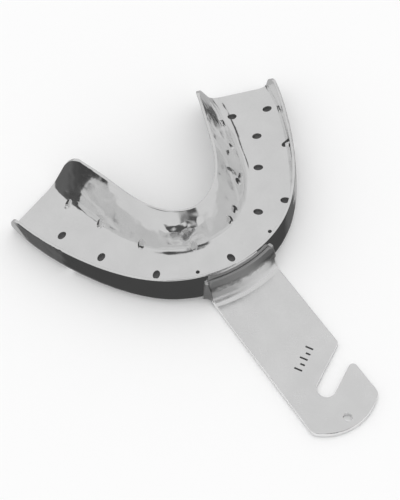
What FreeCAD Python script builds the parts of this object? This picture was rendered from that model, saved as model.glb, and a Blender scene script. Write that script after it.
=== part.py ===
import FreeCAD, Part
import math
import os

# Impression tray for a lower jaw: a pressed steel channel in the shape of a horseshoe, perforated so that
# the impression material keys into it, with a stamped handle soldered to its front wall.
# Millimetres. +Z is up. The origin is under the middle of the part, on the plane that it rests on.
# +Y points to the open ends of the arch, -Y along the handle, +X to the arm that the hook slot opens to.

V = FreeCAD.Vector

# ---- Tray: the driving dimensions ----------------------------------------------------------------------
SHEET = 0.8                 # sheet thickness
LINGUAL_BEND = 4.5          # bend radii on the channel side
OUTER_BEND = 2.0
UNDERSIDE_SKIM = 0.02       # ground off the underside, so that it is truly flat
ARM_END_Y = 49.5            # end of the floor at the foot of the lingual wall
ARM_END_OUTER_Y = 44.0      # end of the floor at the foot of the outer wall
LINGUAL_END_SLANT = 0.42    # how far the ends of the two walls lean back, per millimetre of height
OUTER_END_SLANT = 0.30
LINGUAL_END_CORNER = 7.8    # radii that round off the upper end corners of the two walls
OUTER_END_CORNER = 6.0

# Stations round one half of the arch: midline, canine, premolar, first molar, arm's end, and a run-out
# that is trimmed away. Each station is a fraction of the outer edge's length.
STATIONS = [0.0, 0.25, 0.50, 0.75, 1.0, 1.12]
EDGE_X = [0.0, 15.9, 27.4, 35.3, 39.5, 39.6]          # sharp outer edge of the underside
EDGE_Y = [-3.6, 0.9, 12.8, 27.6, 43.6, 51.6]
FLOOR_WIDTH = [13.7, 13.6, 13.0, 14.8, 15.2, 15.2]    # outer edge to lingual bend line
LINGUAL_LEAN = [7.0, 7.1, 7.2, 6.7, 5.8, 5.5]         # how far the lingual wall leans over the tongue space
LINGUAL_HEIGHT = [9.9, 10.2, 11.4, 13.4, 13.6, 13.6]
OUTER_LEAN = [0.65, 0.65, 0.55, 0.55, -0.3, -0.4]     # how far the outer wall leans in; minus leans out
OUTER_HEIGHT = [10.8, 10.4, 9.4, 8.6, 8.7, 8.7]
SECTIONS_PER_SIDE = 12

# ---- Perforations --------------------------------------------------------------------------------------
HOLE_LONG = 2.5             # across the channel
HOLE_SHORT = 1.8            # along the arch
VENT_DIAMETER = 1.0         # small round vents near the front
# Station (negative on the -X arm) and inset from the outer edge, for the holes in the floor.
FLOOR_HOLES = [(-0.825, 7.3), (-0.70, 1.6), (-0.62, 7.4), (-0.43, 3.0), (-0.365, 7.5), (0.03, 8.0),
               (0.355, 9.4), (0.43, 3.0), (0.60, 9.8), (0.70, 1.6), (0.77, 8.6), (0.90, 3.4), (0.92, 13.0)]
VENT_HOLES = [(-0.155, 8.0), (0.26, 4.9)]
# Station and height, for the holes in the lingual wall.
LINGUAL_HOLES = [(-0.92, 1.4), (-0.71, 2.0), (-0.48, 2.3), (-0.135, 2.2), (0.21, 2.6), (0.31, 3.0),
                 (0.49, 3.8), (0.70, 3.6), (0.84, 4.5)]

# ---- Handle --------------------------------------------------------------------------------------------
PLATE = 1.5                 # plate thickness
HANDLE_WIDTH = 18.5
HANDLE_END_Y = -49.4
END_RADIUS = 13.1           # the rounded end
END_SHOULDER = 2.2          # radius where the rounded end meets the sides
PLATE_EDGE = 0.3            # radius along all the edges of the plate's two faces
PLATE_BEND = 2.0            # concave radius where the plate turns up into the tab
TAB_TOP = 8.5
TAB_TIP = 0.8               # the tab is ground thinner from this thickness at its top
TAB_TAPER = 1.8             # to the full thickness this far below
TAB_EASE = 2.0              # radius where the taper starts
TAB_CORNER = 1.5
TAB_SPAN = 0.22             # stations that the tab's sections reach to, before it is cut to width
TAB_STEPS = 8
TAB_CUTTER_DEPTH = 12.0     # front to back, past the tab's curve
SLOT_WIDTH = 4.6            # hook slot, open to +X
SLOT_CENTRE = (0.0, -38.0)
SLOT_ANGLE = 30.0           # from +X towards +Y
SLOT_MOUTH = 1.1            # radius of the two corners of the slot's mouth
HANG_HOLE = (-0.3, -46.7)
HANG_HOLE_DIAMETER = 2.2

# ---- Solder and mark -----------------------------------------------------------------------------------
SEAM_EDGE = 0.25            # height of the solder's edges in the groove under the joint
SEAM_RISE = 0.30            # how far its hollow face rises between them
SEAM_HALFWAY = 0.4          # share of a bend's height where its arc is pinned
BEAD_LEG = 1.5              # solder bead along each side of the tab
BEAD_FOOT = 1.2
BEAD_TOP = 7.6
BEAD_SINK = 1.1             # stock behind the bead, cut away where the wall is
BEAD_BACK = 0.8             # stock beside the bead, cut away where the tab is
BEAD_SHOULDER = 0.85        # how high the bead climbs the tab's side, as a share of its thickness
BEAD_CREST = 0.4            # how far its crest reaches over the tab
BEAD_TOE = 0.05             # its thickness where it runs out on the wall
BEAD_HOLLOW = 0.3           # how full its hollow face is
BEAD_THINNING = 0.35        # size of the bead's upper end, as a share of its foot
MARK_CENTRE = (-0.2, -29.0)
MARK_DEPTH = 0.15
MARK_HEIGHT = 2.0
MARK_SHORT = 0.6            # the short strokes, as a share of the tall ones
MARK_STROKES = 5
MARK_PITCH = 1.55
MARK_STROKE_WIDTH = 0.45
CLEAR = 2.0                 # how far a cutter reaches past what it cuts
BEYOND = 60.0               # past every edge of the part
TOLERANCE = 1e-3
STEP = 1e-3                 # of a station, where a slope is measured


# ---- Plane geometry, on (a, b) pairs --------------------------------------------------------------------
def unit(a, b):
    length = math.hypot(b[0] - a[0], b[1] - a[1])
    return ((b[0] - a[0]) / length, (b[1] - a[1]) / length)


def offset(point, direction, distance):
    return (point[0] + direction[0] * distance, point[1] + direction[1] * distance)


def rounded_corner(before, corner, after, radius):
    """The start, middle and end of the arc that rounds a corner, and the arc's centre."""
    into = unit(corner, before)
    away = unit(corner, after)
    half = math.acos(into[0] * away[0] + into[1] * away[1]) / 2
    setback = radius / math.tan(half)
    inward = unit((0, 0), (into[0] + away[0], into[1] + away[1]))
    to_centre = radius / math.sin(half)
    return (offset(corner, into, setback), offset(corner, inward, to_centre - radius),
            offset(corner, away, setback), offset(corner, inward, to_centre))


def line(a, b):
    return Part.LineSegment(a, b).toShape()


def arc(a, middle, b):
    return Part.Arc(a, middle, b).toShape()


def box(low, high):
    size = [b - a for a, b in zip(low, high)]
    return Part.makeBox(size[0], size[1], size[2], V(*low))


def both_sides(shape):
    return [shape, shape.mirror(V(0, 0, 0), V(1, 0, 0))]


def largest(shape):
    return max(shape.Solids, key=lambda solid: solid.Volume)


# ---- Stations along the arch ----------------------------------------------------------------------------
def station_spline(values, odd=False):
    """A smooth curve through a value at every station, mirrored across the midline."""
    sign = -1 if odd else 1
    pairs = [(-t, sign * v) for t, v in zip(STATIONS[:0:-1], values[:0:-1])] + list(zip(STATIONS, values))
    spline = Part.BSplineCurve()
    spline.interpolate(Points=[V(t, v, 0) for t, v in pairs], Parameters=[t for t, v in pairs])
    return lambda t: spline.value(t).y


edge_x = station_spline(EDGE_X, odd=True)
edge_y = station_spline(EDGE_Y)
floor_width = station_spline(FLOOR_WIDTH)
lingual_lean = station_spline(LINGUAL_LEAN)
lingual_height = station_spline(LINGUAL_HEIGHT)
outer_lean = station_spline(OUTER_LEAN)
outer_height = station_spline(OUTER_HEIGHT)


class Station:
    """The upright plane across the channel at one station: s runs outwards from the outer edge, z up."""

    def __init__(self, t):
        before, after = t - STEP, t + STEP
        self.t = t
        self.foot = V(edge_x(t), edge_y(t), 0)
        self.along = V(edge_x(after) - edge_x(before), edge_y(after) - edge_y(before), 0).normalize()
        self.out = V(self.along.y, -self.along.x, 0)

    def at(self, s, z):
        return self.foot + self.out * s + V(0, 0, z)

    def line(self, a, b):
        return line(self.at(*a), self.at(*b))

    def arc(self, a, middle, b):
        return arc(self.at(*a), self.at(*middle), self.at(*b))

    def lingual_wall(self):
        """The channel side of the lingual wall: its foot and its direction, as (s, z), and its length."""
        lean = lingual_lean(self.t)
        rise = lingual_height(self.t) - SHEET
        length = math.hypot(lean, rise)
        return (-floor_width(self.t), SHEET), (-lean / length, rise / length), length

    def outer_wall(self):
        """The outside of the outer wall, in the same way."""
        lean = outer_lean(self.t)
        rise = outer_height(self.t)
        length = math.hypot(lean, rise)
        return (0.0, 0.0), (-lean / length, rise / length), length


def on_height(foot, direction, z):
    return offset(foot, direction, (z - foot[1]) / direction[1])


def bent_path(station, corners, radii):
    """Edges along the corners, with each inner corner rounded to its radius."""
    edges = []
    start = corners[0]
    for before, corner, after, radius in zip(corners, corners[1:], corners[2:], radii):
        first, middle, last, centre = rounded_corner(before, corner, after, radius)
        edges.append(station.line(start, first))
        edges.append(station.arc(first, middle, last))
        start = last
    edges.append(station.line(start, corners[-1]))
    return edges


# ---- Tray -----------------------------------------------------------------------------------------------
def channel_section(station):
    """The closed outline of the sheet: channel side, outer rim, outside and underside, lingual rim."""
    foot_l, dir_l, length_l = station.lingual_wall()
    foot_o, dir_o, length_o = station.outer_wall()
    away_l = (-dir_l[1], dir_l[0])
    away_o = (dir_o[1], -dir_o[0])
    half = SHEET / 2
    inner_foot_o = offset(foot_o, away_o, -SHEET)
    outer_foot_l = offset(foot_l, away_l, SHEET)
    inside = [offset(foot_l, dir_l, length_l - half), foot_l, on_height(inner_foot_o, dir_o, SHEET),
              offset(inner_foot_o, dir_o, length_o - half)]
    outside = [offset(foot_o, dir_o, length_o - half), on_height(foot_o, dir_o, -UNDERSIDE_SKIM),
               on_height(outer_foot_l, dir_l, -UNDERSIDE_SKIM), offset(outer_foot_l, dir_l, length_l - half)]
    rim_o = offset(offset(foot_o, dir_o, length_o), away_o, -half)
    rim_l = offset(offset(foot_l, dir_l, length_l), away_l, half)
    edges = bent_path(station, inside, [LINGUAL_BEND, OUTER_BEND])
    edges.append(station.arc(inside[3], rim_o, outside[0]))
    edges += bent_path(station, outside, [OUTER_BEND + SHEET, LINGUAL_BEND + SHEET])
    edges.append(station.arc(outside[3], rim_l, inside[0]))
    return Part.Wire(edges)


def end_cutter(foot, slant, rim_height, corner_radius):
    """What trims a wall's end and its half of the floor: upright beside the floor, then leaning back."""
    end_line = unit((edge_x(1.0) - floor_width(1.0), ARM_END_Y), (edge_x(1.0), ARM_END_OUTER_Y))
    top = (-slant * (rim_height - SHEET), rim_height)
    first, middle, last, centre = rounded_corner((0.0, SHEET), top, (-rim_height, rim_height), corner_radius)
    sweep = V(end_line[0], end_line[1], 0) * (floor_width(1.0) / 2 + CLEAR)

    def spot(y, z):
        return V(foot[0], foot[1] + y, z)

    corners = [spot(last[0], last[1]), spot(last[0], rim_height + CLEAR), spot(4 * CLEAR, rim_height + CLEAR),
               spot(4 * CLEAR, -CLEAR), spot(0, -CLEAR), spot(0, SHEET), spot(*first)]
    edges = [line(p, q) for p, q in zip(corners, corners[1:])]
    edges.append(arc(spot(*first), spot(*middle), spot(*last)))
    profile = Part.Face(Part.Wire(edges))
    profile.translate(sweep * -1)
    return profile.extrude(sweep * 2)


def end_cutters():
    inner = (edge_x(1.0) - floor_width(1.0), ARM_END_Y)
    outer = (edge_x(1.0), ARM_END_OUTER_Y)
    return [end_cutter(inner, LINGUAL_END_SLANT, lingual_height(1.0), LINGUAL_END_CORNER),
            end_cutter(outer, OUTER_END_SLANT, outer_height(1.0), OUTER_END_CORNER)]


def pressed_channel():
    """The channel before it is perforated, with its ends trimmed and its underside ground flat."""
    last = STATIONS[-1]
    sections = [channel_section(Station(last * i / SECTIONS_PER_SIDE))
                for i in range(-SECTIONS_PER_SIDE, SECTIONS_PER_SIDE + 1)]
    channel = Part.makeLoft(sections, True, False)
    cutters = [box((-BEYOND, -BEYOND, -BEYOND), (BEYOND, BEYOND, 0))]
    for cutter in end_cutters():
        cutters += both_sides(cutter)
    for cutter in cutters:
        channel = channel.cut(cutter)
    return channel


def oval_punch(centre, axis, long_way):
    """An oval punch about a centre, along an axis, with its long way across the channel."""
    length = 6 * SHEET
    start = centre - axis * (length / 2)
    short_way = axis.cross(long_way)
    ellipse = Part.Ellipse(start + long_way * (HOLE_LONG / 2), start + short_way * (HOLE_SHORT / 2), start)
    return Part.Face(Part.Wire(ellipse.toShape())).extrude(axis * length)


def floor_punch(t, inset):
    station = Station(t)
    return oval_punch(station.at(-inset, SHEET / 2), V(0, 0, 1), station.out)


def vent_punch(t, inset):
    return Part.makeCylinder(VENT_DIAMETER / 2, 6 * SHEET, Station(t).at(-inset, -3 * SHEET))


def lingual_punch(t, z):
    """A hole square to the lingual wall, where its channel side is at the height z."""
    station = Station(t)
    foot, direction, length = station.lingual_wall()
    away = (-direction[1], direction[0])
    spot = offset(on_height(foot, direction, z), away, SHEET / 2)
    up = station.out * direction[0] + V(0, 0, direction[1])
    axis = station.out * away[0] + V(0, 0, away[1])
    return oval_punch(station.at(*spot), axis, up)


def punches():
    tools = [floor_punch(t, inset) for t, inset in FLOOR_HOLES]
    tools += [vent_punch(t, inset) for t, inset in VENT_HOLES]
    tools += [lingual_punch(t, z) for t, z in LINGUAL_HOLES]
    return tools


# ---- Handle ---------------------------------------------------------------------------------------------
def plate_paths(station):
    """The plate's two faces at a station, as corners: down the front wall and out along the underside."""
    foot, direction, length = station.outer_wall()
    away = (direction[1], -direction[0])
    reach = 4 * PLATE_BEND
    back = [on_height(foot, direction, TAB_TOP), foot, (reach, 0.0)]
    knee = on_height(offset(foot, away, PLATE), direction, PLATE)
    shoulder = on_height(knee, direction, TAB_TOP - TAB_TAPER)
    tip = on_height(offset(foot, away, TAB_TIP), direction, TAB_TOP)
    front = [tip, shoulder, knee, (reach, PLATE)]
    return back, front


def tab_section(station):
    """The bent end of the handle: up the outside of the front wall, round the bend, and out."""
    back, front = plate_paths(station)
    edges = bent_path(station, back, [PLATE_BEND + PLATE])
    edges.append(station.line(back[2], front[3]))
    edges += bent_path(station, front[::-1], [PLATE_BEND, TAB_EASE])
    edges.append(station.line(front[0], back[0]))
    return Part.Wire(edges)


def bent_tab():
    sections = [tab_section(Station(TAB_SPAN * i / TAB_STEPS)) for i in range(-TAB_STEPS, TAB_STEPS + 1)]
    half = HANDLE_WIDTH / 2
    keep = box((-half, blade_start(), -CLEAR), (half, CLEAR, TAB_TOP + CLEAR))
    return Part.makeLoft(sections, True, False).common(keep)


def soften_plate_edges(plate):
    """Round the edges of the plate's upper and lower faces, all but those where it joins the bend."""
    edges = [e for e in plate.Edges
             if e.BoundBox.ZLength < TOLERANCE and e.CenterOfMass.y < blade_start() - TOLERANCE]
    return plate.makeFillet(PLATE_EDGE, edges)


def tab_corner_cutters():
    """What rounds the two upper corners of the tab, seen from the front."""
    inner_x = HANDLE_WIDTH / 2 - TAB_CORNER
    inner_z = TAB_TOP - TAB_CORNER
    y_low = EDGE_Y[0] - TAB_CUTTER_DEPTH / 2
    y_high = y_low + TAB_CUTTER_DEPTH
    block = box((inner_x, y_low, inner_z), (inner_x + TAB_CORNER + CLEAR, y_high, TAB_TOP + CLEAR))
    rod = Part.makeCylinder(TAB_CORNER, TAB_CUTTER_DEPTH, V(inner_x, y_low, inner_z), V(0, 1, 0))
    return both_sides(block.cut(rod))


def blade_start():
    """Where the flat blade takes over from the bend."""
    return EDGE_Y[0] - 2 * PLATE_BEND - PLATE


def round_upright_edges(solid, spots, radius):
    """Round the upright edges nearest to the given (x, y) spots."""
    upright = [e for e in solid.Edges if len(e.Vertexes) == 2
               and math.hypot(e.BoundBox.XLength, e.BoundBox.YLength) < TOLERANCE]
    chosen = [min(upright, key=lambda e: math.hypot(e.CenterOfMass.x - x, e.CenterOfMass.y - y))
              for x, y in spots]
    return solid.makeFillet(radius, chosen)


def slot_directions():
    angle = math.radians(SLOT_ANGLE)
    return V(math.cos(angle), math.sin(angle), 0), V(-math.sin(angle), math.cos(angle), 0)


def slot_cutter():
    """The hook slot: a round end on the midline and straight sides out past the handle's edge."""
    ahead, side = slot_directions()
    reach = ahead * (2 * HANDLE_WIDTH)
    left = side * (SLOT_WIDTH / 2)
    centre = V(*SLOT_CENTRE, -CLEAR)
    edges = [arc(centre + left, centre - ahead * (SLOT_WIDTH / 2), centre - left),
             line(centre - left, centre - left + reach), line(centre - left + reach, centre + left + reach),
             line(centre + left + reach, centre + left)]
    return Part.Face(Part.Wire(edges)).extrude(V(0, 0, PLATE + 2 * CLEAR))


def slot_mouth():
    """Where the slot's two sides meet the handle's edge."""
    angle = math.radians(SLOT_ANGLE)
    edge_x_from_centre = HANDLE_WIDTH / 2 - SLOT_CENTRE[0]
    middle_y = SLOT_CENTRE[1] + edge_x_from_centre * math.tan(angle)
    half_gap = SLOT_WIDTH / 2 / math.cos(angle)
    return [(HANDLE_WIDTH / 2, middle_y + half_gap), (HANDLE_WIDTH / 2, middle_y - half_gap)]


def handle_blade():
    """The flat part of the handle, from beside the bend to the rounded end."""
    half = HANDLE_WIDTH / 2
    end_centre_y = HANDLE_END_Y + END_RADIUS
    shoulder_y = end_centre_y - math.sqrt(END_RADIUS ** 2 - half ** 2)
    outline = [line(V(-half, shoulder_y, 0), V(-half, blade_start(), 0)),
               line(V(-half, blade_start(), 0), V(half, blade_start(), 0)),
               line(V(half, blade_start(), 0), V(half, shoulder_y, 0)),
               arc(V(half, shoulder_y, 0), V(0, HANDLE_END_Y, 0), V(-half, shoulder_y, 0))]
    blade = Part.Face(Part.Wire(outline)).extrude(V(0, 0, PLATE))
    blade = round_upright_edges(blade, [(-half, shoulder_y), (half, shoulder_y)], END_SHOULDER)
    blade = round_upright_edges(blade.cut(slot_cutter()), slot_mouth(), SLOT_MOUTH)
    hole = Part.makeCylinder(HANG_HOLE_DIAMETER / 2, PLATE + 2 * CLEAR, V(*HANG_HOLE, -CLEAR))
    return soften_plate_edges(blade).cut(hole)


def soften_tab_edges(tab):
    """Round the edges of the tab's two faces, down its sides and over its top."""
    half = HANDLE_WIDTH / 2
    edges = []
    for edge in tab.Edges:
        reach = edge.BoundBox
        beside = min(abs(reach.XMin), abs(reach.XMax)) > half - TAB_CORNER - TOLERANCE
        above = reach.ZMin > TAB_TOP - TOLERANCE
        across = edge.Length < 1.3 * PLATE and reach.XLength < TOLERANCE
        at_blade = reach.YMax < blade_start() + TOLERANCE
        if (beside or above) and not across and not at_blade:
            edges.append(edge)
    return tab.makeFillet(PLATE_EDGE, edges)


def formed_handle(channel):
    tab = bent_tab()
    for cutter in tab_corner_cutters():
        tab = tab.cut(cutter)
    return soften_tab_edges(tab).fuse(handle_blade()).cut(channel).removeSplitter()


# ---- Solder and mark ------------------------------------------------------------------------------------
def height_on_arc(centre, radius, side, z):
    """The point of an arc at the height z, on the given side (-1 or 1) of its centre."""
    return (centre[0] + side * math.sqrt(radius ** 2 - (centre[1] - z) ** 2), z)


def seam_section(station):
    """The groove between the tray's bend and the handle's bend, filled to a hollow face."""
    foot, direction, length = station.outer_wall()
    top = on_height(foot, direction, TAB_TOP)
    tray_radius = OUTER_BEND + SHEET
    tray_top, tray_mid, tray_low, tray_centre = rounded_corner(top, foot, (-length, 0.0), tray_radius)
    plate_radius = PLATE_BEND + PLATE
    plate_top, plate_mid, plate_low, plate_centre = rounded_corner(top, foot, (length, 0.0), plate_radius)
    tray_edge = height_on_arc(tray_centre, tray_radius, 1, SEAM_EDGE)
    plate_edge = height_on_arc(plate_centre, plate_radius, -1, SEAM_EDGE)
    tray_way = height_on_arc(tray_centre, tray_radius, 1, SEAM_HALFWAY * tray_top[1])
    plate_way = height_on_arc(plate_centre, plate_radius, -1, SEAM_HALFWAY * plate_top[1])
    hollow = ((tray_edge[0] + plate_edge[0]) / 2, SEAM_EDGE + SEAM_RISE)
    return Part.Wire([station.line(plate_top, tray_top),
                      station.arc(tray_top, tray_way, tray_edge),
                      station.arc(tray_edge, hollow, plate_edge),
                      station.arc(plate_edge, plate_way, plate_top)])


def solder_seam():
    sections = [seam_section(Station(TAB_SPAN * i / TAB_STEPS)) for i in range(-TAB_STEPS, TAB_STEPS + 1)]
    half = HANDLE_WIDTH / 2
    keep = box((-half, blade_start() - CLEAR, 0), (half, CLEAR, TAB_TOP))
    return largest(Part.makeLoft(sections, True, False).common(keep))


def station_at_x(x):
    """The station where the outer edge is at x, by bisection."""
    low, high = 0.0, 1.0
    while high - low > STEP ** 2:
        middle = (low + high) / 2
        low, high = (middle, high) if edge_x(middle) < x else (low, middle)
    return low


def bead_outline(station, z, share):
    """The bead's outline at one height, at a share of its full size."""
    shoulder = share * BEAD_SHOULDER * PLATE
    leg = share * BEAD_LEG

    def spot(along, out):
        return station.foot + station.along * along + station.out * out + V(0, 0, z)

    corners = [spot(-BEAD_BACK, shoulder), spot(-BEAD_BACK, -BEAD_SINK), spot(leg, -BEAD_SINK),
               spot(leg, BEAD_TOE)]
    hollow = spot(BEAD_HOLLOW * leg, BEAD_HOLLOW * shoulder)
    crest = spot(-BEAD_CREST, shoulder)
    outline = [line(a, b) for a, b in zip(corners, corners[1:])]
    outline += [arc(corners[-1], hollow, crest), line(crest, corners[0])]
    return Part.Wire(outline)


def solder_bead(channel, handle):
    """One bead, in the corner between the side of the tab and the front wall, thinning upwards."""
    station = Station(station_at_x(HANDLE_WIDTH / 2))
    outlines = [bead_outline(station, BEAD_FOOT, 1.0), bead_outline(station, BEAD_TOP, BEAD_THINNING)]
    bead = Part.makeLoft(outlines, True, True)
    return largest(bead.cut(channel).cut(handle))


def mark_strokes(height):
    """A plain row of slanted strokes in the handle, tall and short in turn, in place of a size mark."""
    along, upright = slot_directions()
    strokes = []
    for i in range(MARK_STROKES):
        place = (i - (MARK_STROKES - 1) / 2) * MARK_PITCH
        tall = MARK_HEIGHT if i % 2 == 0 else MARK_SHORT * MARK_HEIGHT
        base = V(*MARK_CENTRE, PLATE - MARK_DEPTH) + along * place - upright * (MARK_HEIGHT / 2)
        side = along * MARK_STROKE_WIDTH
        corners = [base, base + side, base + side + upright * tall, base + upright * tall]
        strokes.append(Part.Face(Part.makePolygon(corners + corners[:1])).extrude(V(0, 0, height)))
    return strokes


def build():
    channel = pressed_channel()
    handle = formed_handle(channel)
    bead = solder_bead(channel, handle)
    tray = channel
    for punch in punches():
        tray = tray.cut(punch)
    for recess in mark_strokes(MARK_DEPTH + CLEAR):
        handle = handle.cut(recess)
    return {
        "tray_body": largest(tray),
        "handle": largest(handle),
        "solder_seam": solder_seam(),
        "solder_beads": Part.makeCompound(both_sides(bead)),
        "mark_fill": Part.makeCompound(mark_strokes(MARK_DEPTH)),
    }


os.makedirs("parts", exist_ok=True)
for name, shape in build().items():
    print(name, "solids", len(shape.Solids), "valid", shape.isValid(), "volume %.1f" % shape.Volume)
    shape.exportStep("parts/%s.step" % name)
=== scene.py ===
import math

import bpy
from mathutils import Matrix, Vector

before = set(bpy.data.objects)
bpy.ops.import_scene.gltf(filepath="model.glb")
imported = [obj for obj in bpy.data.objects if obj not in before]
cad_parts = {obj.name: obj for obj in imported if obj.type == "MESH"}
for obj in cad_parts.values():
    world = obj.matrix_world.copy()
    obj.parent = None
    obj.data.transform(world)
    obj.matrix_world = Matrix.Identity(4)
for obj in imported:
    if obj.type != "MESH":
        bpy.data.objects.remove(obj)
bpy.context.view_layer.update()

MM = 0.001
scene = bpy.context.scene

# ---- Camera: lengths in millimetres, angles in degrees --------------------------------------------------
CAMERA_AZIMUTH = -26.70     # from -Y towards +X
CAMERA_ELEVATION = 57.95
CAMERA_ROLL = -7.02
CAMERA_AIM = (-3.41, 11.23, 0.0)
CAMERA_DISTANCE = 311.7
CAMERA_LENS = 89.62
CAMERA_SENSOR = 36.0
CLIP_START = 10

# ---- Light: a pale dome and backdrop over a dark room, as polished steel sees them ----------------------
# An azimuth is in degrees from +Y towards +X. A height is the sine of an elevation. A spread is the pair of
# cosines of the angles from a heading out to the soft edge of a thing and to its core.
DOME = 0.64                 # what the steel reflects from above
BACKDROP = 0.44             # from low down behind the tray
ROOM = 0.058                # from low down on the camera's side
WINGS = 0.115               # and from low down between the two
FILL = 1.05                 # what lights the floor
DARK_THING = 1.3 * ROOM     # a dark thing that stands or hangs in the dome
BACKDROP_AZIMUTH = 9
BACKDROP_SPREAD = (0.59, 0.70)
WINGS_SPREAD = (0.10, 0.28)
DOME_START = 0.17           # how far below the horizon the dome starts
DOME_BLUR = (-0.02, 0.06)
FLAG_AZIMUTH = -70          # towards this side a flag as dark as the room hides the dome
FLAG_SPREAD = (0.955, 0.985)
FLAG_HEIGHT = 0.54          # up to this height above the dome's start
# Dark bars in the dome: azimuth, spread, the heights between which each one reaches, and their blur.
DARK_BARS = [(-178, (0.96, 0.99), (0.22, 0.75), 0.05), (-162, (0.89, 0.96), (0.76, 0.87), 0.03)]
# Dark round things in the dome: azimuth, elevation, and the angles out to their soft edge and their core.
DARK_PATCHES = [(-137, 53, 14, 8), (58, 36, 6.5, 2)]

# ---- Floor, and the dark strip of painted shade under the tray, in millimetres --------------------------
FLOOR_REACH = 2000
FLOOR_DROP = 0.12
FLOOR_GREY = 0.93
# The dark strip is painted shade: a dark sheet standing in for the shadow under the tray, seen through its
# holes.
SHADE_DROP = 0.06
SHADE_GREY = 0.13
ARCH_EDGE = [(0.0, -3.6), (15.9, 0.9), (27.4, 12.8), (35.3, 27.6), (39.4, 42.0)]
ARCH_STEPS = 8
SHADE_OUTER = (1.8, 1.8)    # insets of its two edges, at the -X end and at the +X end
SHADE_INNER = (14.2, 16.5)

# ---- Finish of the steel: depths and places in millimetres, noise scales per metre ----------------------
CLOUDS = 160                # cloudy tone of the polish
SPECKS = 1900
SMUDGES = 260               # smears of more and less gloss
WAVES = 130                 # hand-formed waviness
GRAIN = 4200
WEAR = 90                   # patches where the scratches are
# Scale, direction in radians and seed of each of the two lots of scratches.
HAIRS = [(420, 0.5, 0.1), (360, -0.9, 0.4)]
HAIR_STRETCH = (1.0, 0.03, 0.3)
HAIR_WIDTH = 0.006          # of the noise's range, either side of its middle
HAIR_DEPTH = 0.0015
HAIR_ROUGHNESS = 0.12

BLADE_TOP = 1.6             # the blade's sheared edges lie below this height
EDGE_BLUR = 0.2
EDGE_METAL = 0.1            # metallic value left on those edges: nearly none, so their pale colour, lit evenly, is a painted reflection of the floor
EDGE_TILT = (0.55, 0.85)    # upright share of the normal: below it is an edge, above it a face

# Painted shade on the handle's upturned end: its colour darkens towards the top, standing in for the dark
# reflection on its face.
PAINTED_TAB_SHADE_FOOT = 4.4            # the painted shade on the upturned end starts here
PAINTED_TAB_SHADE_FULL = 6.8            # and is full from here up
PAINTED_TAB_SHADE_STRENGTH = 0.7
PAINTED_TAB_SHADE_RAGGED = 0.9          # how far its foot wanders up and down
PAINTED_TAB_SHADE_GREY = (0.16, 0.16, 0.16, 1)
BEND_DULL = 0.22            # roughness that the bend and the upturned end have more than the blade
BEND_BLUR = 0.6

CREASE_BAND = (5.9, 7.5)    # heights that the crease in the lingual wall runs between
CREASE_REACH = (-9.5, -0.5)  # and its two ends, along X
CREASE_FADE = 1.2
CREASE_BEHIND = (9, 11)     # the lingual wall starts here, along Y
CREASE_DEPTH = 0.62
CREASE_FOOT = 2.9           # below this the wall is as it was pressed
CREASE_RAGGED = 0.5

ENAMEL = (0.015, 0.015, 0.016, 1)
ENAMEL_FADED = (0.05, 0.05, 0.052, 1)
ENAMEL_WEAR = 1500
ENAMEL_DEPTH = 0.01


# ---- Node helpers ---------------------------------------------------------------------------------------
class Tree:
    """The nodes of a material or a world, with short ways to add a node and to set or link its inputs."""

    def __init__(self, owner):
        owner.use_nodes = True
        self.owner = owner
        self.nodes = owner.node_tree.nodes
        self.links = owner.node_tree.links
        self.shader = self.nodes.get("Principled BSDF")

    def add(self, kind, settings=None, **inputs):
        """A new node. An input goes by its name, with _ for a space, or by its number, such as i0."""
        node = self.nodes.new(kind)
        for key, value in (settings or {}).items():
            setattr(node, key, value)
        for key, value in inputs.items():
            name = int(key[1:]) if key[0] == "i" and key[1:].isdigit() else key.replace("_", " ")
            self.feed(node.inputs[name], value)
        return node

    def feed(self, socket, value):
        if isinstance(value, bpy.types.NodeSocket):
            self.links.new(value, socket)
        else:
            socket.default_value = value

    def fed_by(self, name):
        """The socket that feeds the shader's input of that name."""
        return self.shader.inputs[name].links[0].from_socket

    def feed_shader(self, name, value):
        self.feed(self.shader.inputs[name], value)

    def noise(self, where, scale, detail=2.0, stretch=(1, 1, 1), seed=0.0):
        """Noise of the given scale per metre, stretched if asked. It lies mostly between 0.3 and 0.7."""
        place = self.add("ShaderNodeMapping", Vector=where, Location=(seed, seed, seed), Scale=stretch)
        noise = self.add("ShaderNodeTexNoise", Vector=place.outputs[0], Scale=scale, Detail=detail)
        return noise.outputs[0]

    def remap(self, value, low, high, to_low, to_high, smooth=False):
        kind = "SMOOTHSTEP" if smooth else "LINEAR"
        node = self.add("ShaderNodeMapRange", {"interpolation_type": kind}, Value=value)
        for key, number in zip(("From Min", "From Max", "To Min", "To Max"), (low, high, to_low, to_high)):
            node.inputs[key].default_value = number
        return node.outputs[0]

    def window(self, value, low, high, blur):
        """1 between low and high, falling softly to 0 outside them."""
        rise = self.remap(value, low - blur, low + blur, 0.0, 1.0, smooth=True)
        fall = self.remap(value, high - blur, high + blur, 1.0, 0.0, smooth=True)
        return self.math("MULTIPLY", rise, fall)

    def math(self, operation, a, b=0.0):
        return self.add("ShaderNodeMath", {"operation": operation}, i0=a, i1=b).outputs[0]

    def vector_math(self, operation, a, b=(0, 0, 0)):
        return self.add("ShaderNodeVectorMath", {"operation": operation}, i0=a, i1=b)

    def part(self, vector, axis):
        """The X, Y or Z of a vector, for an axis of 0, 1 or 2."""
        return self.add("ShaderNodeSeparateXYZ", Vector=vector).outputs[axis]

    def pick(self, factor, a, b):
        """The number a where the factor is 0, and b where it is 1."""
        return self.add("ShaderNodeMix", {"data_type": "FLOAT"}, i0=factor, i2=a, i3=b).outputs[0]

    def tint(self, factor, a, b):
        """The colour a where the factor is 0, and b where it is 1."""
        node = self.add("ShaderNodeMix", {"data_type": "RGBA"}, i0=factor)
        self.feed(node.inputs["A"], a)
        self.feed(node.inputs["B"], b)
        return node.outputs["Result"]

    def bump(self, height, depth, before=None):
        node = self.add("ShaderNodeBump", Height=height, Distance=depth)
        if before:
            self.feed(node.inputs["Normal"], before)
        return node.outputs[0]


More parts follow.
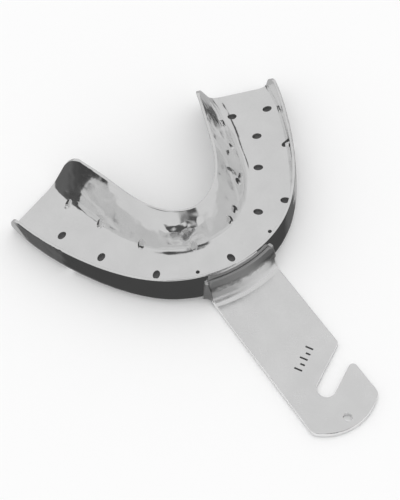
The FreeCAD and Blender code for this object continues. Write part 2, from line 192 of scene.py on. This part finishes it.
# ---- Materials ------------------------------------------------------------------------------------------
def scratches(tree, where, scale, turn, seed):
    """Fine straight scratches in one direction: thin crests of a noise stretched a long way."""
    turned = tree.add("ShaderNodeMapping", Vector=where, Rotation=(0, 0, turn)).outputs[0]
    field = tree.noise(turned, scale, 1.0, HAIR_STRETCH, seed)
    crest = tree.math("ABSOLUTE", tree.math("SUBTRACT", field, 0.5))
    return tree.remap(crest, 0.0, HAIR_WIDTH, 1.0, 0.0)


def steel(name, dark, light, gloss, satin, wave, grain, metal=1.0):
    """Worn surgical steel: cloudy polish, hand-formed waviness, a fine grain and hairline scratches.

    dark and light are the greys of the polish, gloss and satin its lowest and highest roughness, and wave
    and grain the depths of the waviness and the grain.
    """
    tree = Tree(bpy.data.materials.new(name))
    tree.feed_shader("Metallic", metal)
    where = tree.add("ShaderNodeTexCoord").outputs["Object"]
    clouds = tree.noise(where, CLOUDS, 4.0, seed=0.3)
    specks = tree.noise(where, SPECKS, seed=0.7)
    tone = tree.math("ADD", tree.math("MULTIPLY", clouds, 0.75), tree.math("MULTIPLY", specks, 0.25))
    shade = tree.remap(tone, 0.35, 0.65, 0.0, 1.0)
    tree.feed_shader("Base Color", tree.tint(shade, (dark, dark, dark, 1), (light, light, light, 1)))
    first, second = (scratches(tree, where, *lot) for lot in HAIRS)
    wear = tree.remap(tree.noise(where, WEAR, seed=0.9), 0.45, 0.65, 0.0, 1.0)
    worn = tree.math("MULTIPLY", tree.math("MAXIMUM", first, second), wear)
    smudge = tree.remap(tree.noise(where, SMUDGES, 3.0, seed=0.5), 0.35, 0.7, gloss, satin)
    tree.feed_shader("Roughness", tree.math("ADD", smudge, tree.math("MULTIPLY", worn, HAIR_ROUGHNESS)))
    normal = tree.bump(tree.noise(where, WAVES, seed=0.2), wave * MM)
    normal = tree.bump(tree.noise(where, GRAIN, seed=0.6), grain * MM, normal)
    normal = tree.bump(tree.math("SUBTRACT", 1.0, worn), HAIR_DEPTH * MM, normal)
    tree.feed_shader("Normal", normal)
    return tree


def crease(tree):
    """A hand-worked crease across the front of the lingual wall, where its flange is bent over further."""
    where = tree.add("ShaderNodeNewGeometry").outputs["Position"]
    low, high = CREASE_BAND
    left, right = CREASE_REACH
    front, wall = CREASE_BEHIND
    wander = tree.noise(where, 190, 1.0, seed=0.15)
    ragged = tree.remap(wander, 0.3, 0.7, -CREASE_RAGGED * MM, CREASE_RAGGED * MM)
    level = tree.math("ADD", tree.part(where, 2), ragged)
    step = tree.math("MINIMUM", tree.remap(level, CREASE_FOOT * MM, low * MM, 0.0, 1.0),
                     tree.remap(level, low * MM, high * MM, 1.0, 0.0))
    along = tree.window(tree.part(where, 0), left * MM, right * MM, CREASE_FADE * MM)
    inside = tree.remap(tree.part(where, 1), front * MM, wall * MM, 0.0, 1.0)
    height = tree.math("MULTIPLY", step, tree.math("MULTIPLY", along, inside))
    tree.feed_shader("Normal", tree.bump(height, CREASE_DEPTH * MM, tree.fed_by("Normal")))


def painted_tab_shade_and_dull_bend(tree):
    """Painted shade on the handle's upturned end: a grey darkening towards its top, soft and ragged at its
    foot, standing in for a dark reflection on its face. The bend and the upturned end are also made
    rougher.
    """
    where = tree.add("ShaderNodeNewGeometry").outputs["Position"]
    height = tree.part(where, 2)
    wander = tree.noise(where, 700, 4.0, seed=0.8)
    ragged = tree.remap(wander, 0.3, 0.7, -PAINTED_TAB_SHADE_RAGGED * MM, PAINTED_TAB_SHADE_RAGGED * MM)
    painted_shade = tree.remap(tree.math("ADD", height, ragged), PAINTED_TAB_SHADE_FOOT * MM, PAINTED_TAB_SHADE_FULL * MM,
                       0.0, PAINTED_TAB_SHADE_STRENGTH, smooth=True)
    dull = tree.remap(height, BLADE_TOP * MM, (BLADE_TOP + BEND_BLUR) * MM, 0.0, BEND_DULL)
    tree.feed_shader("Base Color", tree.tint(painted_shade, tree.fed_by("Base Color"), PAINTED_TAB_SHADE_GREY))
    tree.feed_shader("Roughness", tree.math("ADD", tree.fed_by("Roughness"), dull))


def cut_edges_painted_reflection(tree):
    """The sheared edges of the flat blade, where the polished faces are metal all through. The edges are
    left nearly not metal. They are partly the real duller cut edges, and partly a painted reflection: their
    pale colour, lit evenly, stands in for the pale floor that steel edges would mirror.
    """
    shape = tree.add("ShaderNodeNewGeometry")
    upright = tree.math("ABSOLUTE", tree.part(shape.outputs["True Normal"], 2))
    beside = tree.remap(upright, *EDGE_TILT, 1.0, 0.0, smooth=True)
    height = tree.part(shape.outputs["Position"], 2)
    low = tree.remap(height, BLADE_TOP * MM, (BLADE_TOP + EDGE_BLUR) * MM, 1.0, 0.0)
    edge = tree.math("MULTIPLY", beside, low)
    tree.feed_shader("Metallic", tree.remap(edge, 0.0, 1.0, 1.0, EDGE_METAL))


def enamel(name):
    """Black enamel in the stamped mark, a little worn."""
    tree = Tree(bpy.data.materials.new(name))
    where = tree.add("ShaderNodeTexCoord").outputs["Object"]
    wear = tree.noise(where, ENAMEL_WEAR, 3.0)
    tree.feed_shader("Base Color", tree.tint(tree.remap(wear, 0.4, 0.7, 0.0, 1.0), ENAMEL, ENAMEL_FADED))
    tree.feed_shader("Roughness", tree.remap(wear, 0.3, 0.7, 0.4, 0.7))
    tree.feed_shader("Normal", tree.bump(wear, ENAMEL_DEPTH * MM))
    return tree


# ---- Light ----------------------------------------------------------------------------------------------
def dark_patch(tree, ray, azimuth, elevation, edge, core):
    """A round patch of the sky: 1 within the core angle of its middle, falling softly to 0 at the edge."""
    a, e = math.radians(azimuth), math.radians(elevation)
    middle = (math.sin(a) * math.cos(e), math.cos(a) * math.cos(e), math.sin(e))
    near = tree.vector_math("DOT_PRODUCT", ray, middle).outputs["Value"]
    low, high = math.cos(math.radians(edge)), math.cos(math.radians(core))
    return tree.remap(near, low, high, 0.0, 1.0, smooth=True)


def dome():
    """A world that lights the floor evenly. Steel sees a pale dome, a backdrop and a dark room in it."""
    scene.world = bpy.data.worlds.new("dome")
    tree = Tree(scene.world)
    ray = tree.add("ShaderNodeTexCoord").outputs["Generated"]
    height = tree.part(ray, 2)
    flattened = tree.vector_math("MULTIPLY", ray, (1, 1, 0)).outputs[0]
    heading = tree.vector_math("NORMALIZE", flattened).outputs[0]

    def towards(azimuth, spread, outside=0.0, core=1.0):
        """The value core towards an azimuth, changing softly to the value outside away from it."""
        middle = (math.sin(math.radians(azimuth)), math.cos(math.radians(azimuth)), 0)
        near = tree.vector_math("DOT_PRODUCT", heading, middle).outputs["Value"]
        return tree.remap(near, *spread, outside, core, smooth=True)

    wings = towards(BACKDROP_AZIMUTH, WINGS_SPREAD, ROOM, WINGS)
    backdrop = towards(BACKDROP_AZIMUTH, BACKDROP_SPREAD, 0.0, BACKDROP)
    low_down = tree.math("MAXIMUM", wings, backdrop)
    flag = towards(FLAG_AZIMUTH, FLAG_SPREAD, 0.0, FLAG_HEIGHT)
    above = tree.math("SUBTRACT", height, tree.math("SUBTRACT", flag, DOME_START))
    open_sky = tree.remap(above, *DOME_BLUR, 0.0, 1.0, smooth=True)
    things = []
    for azimuth, spread, (low, high), blur in DARK_BARS:
        upright = tree.window(height, low, high, blur)
        things.append(tree.math("MULTIPLY", upright, towards(azimuth, spread)))
    for spot in DARK_PATCHES:
        things.append(dark_patch(tree, ray, *spot))
    dark = things[0]
    for thing in things[1:]:
        dark = tree.math("MAXIMUM", dark, thing)
    seen = tree.pick(open_sky, low_down, tree.remap(dark, 0.0, 1.0, DOME, DARK_THING))
    glossy = tree.add("ShaderNodeLightPath").outputs["Is Glossy Ray"]
    background = tree.nodes["Background"]
    background.inputs["Color"].default_value = (1, 1, 1, 1)
    tree.feed(background.inputs["Strength"], tree.pick(glossy, FILL, seen))


# ---- Stage ----------------------------------------------------------------------------------------------
def sheet(name, corners, faces, grey, drop, mirrored):
    """A flat matt sheet a little below the tray, used for the pale floor and for the dark strip of painted
    shade. Steel reflects it only if mirrored is true.
    """
    tree = Tree(bpy.data.materials.new(name + "_paper"))
    tree.feed_shader("Base Color", (grey, grey, grey, 1))
    tree.feed_shader("Roughness", 0.9)
    tree.feed_shader("Specular IOR Level", 0.0)
    mesh = bpy.data.meshes.new(name)
    mesh.from_pydata([(x * MM, y * MM, 0.0) for x, y in corners], [], faces)
    mesh.materials.append(tree.owner)
    piece = bpy.data.objects.new(name, mesh)
    scene.collection.objects.link(piece)
    piece.location.z = -drop * MM
    piece.visible_glossy = mirrored


def floor():
    reach = FLOOR_REACH
    corners = [(-reach, -reach), (reach, -reach), (reach, reach), (-reach, reach)]
    sheet("floor", corners, [(0, 1, 2, 3)], FLOOR_GREY, FLOOR_DROP, mirrored=False)


def through(a, b, c, d, t):
    """The place and the direction at t, from 0 at b to 1 at c, on the smooth curve through four points."""
    first = c - a
    second = a * 2 - b * 5 + c * 4 - d
    third = b * 3 - a - c * 3 + d
    place = (b * 2 + first * t + second * t * t + third * t ** 3) / 2
    direction = (first + second * 2 * t + third * 3 * t * t).normalized()
    return place, direction


def arch(insets):
    """The tray's outer edge from the -X arm to the +X arm, moved inwards by insets that change evenly."""
    knots = [Vector((-x, y)) for x, y in ARCH_EDGE[:0:-1]] + [Vector(spot) for spot in ARCH_EDGE]
    last = (len(knots) - 1) * ARCH_STEPS
    points = []
    for a, b, c, d in zip([knots[0]] + knots, knots, knots[1:], knots[2:] + [knots[-1]]):
        for step in range(ARCH_STEPS):
            spot, slope = through(a, b, c, d, step / ARCH_STEPS)
            share = len(points) / last
            inset = insets[0] + (insets[1] - insets[0]) * share
            points.append(spot + Vector((-slope.y, slope.x)) * inset)
    return points


def painted_shade_under_tray():
    """Painted shade: a dark strip hidden under the tray's floor, standing in for the shadow there, that the
    holes look down on.
    """
    outer, inner = arch(SHADE_OUTER), arch(SHADE_INNER)
    count = len(outer)
    faces = [(i, i + 1, count + i + 1, count + i) for i in range(count - 1)]
    sheet("shade", outer + inner, faces, SHADE_GREY, SHADE_DROP, mirrored=True)


def camera():
    """The camera, from its azimuth, elevation and roll, aimed at a point on the floor."""
    azimuth, elevation = math.radians(CAMERA_AZIMUTH), math.radians(CAMERA_ELEVATION)
    level = math.cos(elevation)
    back = Vector((math.sin(azimuth) * level, -math.cos(azimuth) * level, math.sin(elevation)))
    right = Vector((math.cos(azimuth), math.sin(azimuth), 0))
    up = back.cross(right)
    c, s = math.cos(math.radians(CAMERA_ROLL)), math.sin(math.radians(CAMERA_ROLL))
    right, up = right * c + up * s, up * c - right * s
    view = bpy.data.objects.new("camera", bpy.data.cameras.new("camera"))
    scene.collection.objects.link(view)
    view.data.lens = CAMERA_LENS
    view.data.sensor_width = CAMERA_SENSOR
    view.data.clip_start = CLIP_START * MM
    view.matrix_world = Matrix((right, up, back)).transposed().to_4x4()
    view.location = Vector(CAMERA_AIM) * MM + back * (CAMERA_DISTANCE * MM)
    scene.camera = view


# ---- The object's nodes and their materials -------------------------------------------------------------
def paint(name, tree):
    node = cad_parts[name]
    node.data.materials.clear()
    node.data.materials.append(tree.owner)


camera()
dome()
floor()
painted_shade_under_tray()

tray_steel = steel("tray_steel", dark=0.88, light=0.93, gloss=0.05, satin=0.13, wave=0.32, grain=0.003)
crease(tray_steel)
paint("tray_body", tray_steel)

handle_steel = steel("handle_steel", dark=0.88, light=0.93, gloss=0.16, satin=0.26, wave=0.05, grain=0.004)
cut_edges_painted_reflection(handle_steel)
painted_tab_shade_and_dull_bend(handle_steel)
paint("handle", handle_steel)

solder = steel("silver_solder", dark=0.60, light=0.80, gloss=0.3, satin=0.5, wave=0.25, grain=0.02,
               metal=0.85)
paint("solder_seam", solder)
paint("solder_beads", solder)
paint("mark_fill", enamel("mark_enamel"))

scene.view_settings.view_transform = "Standard"
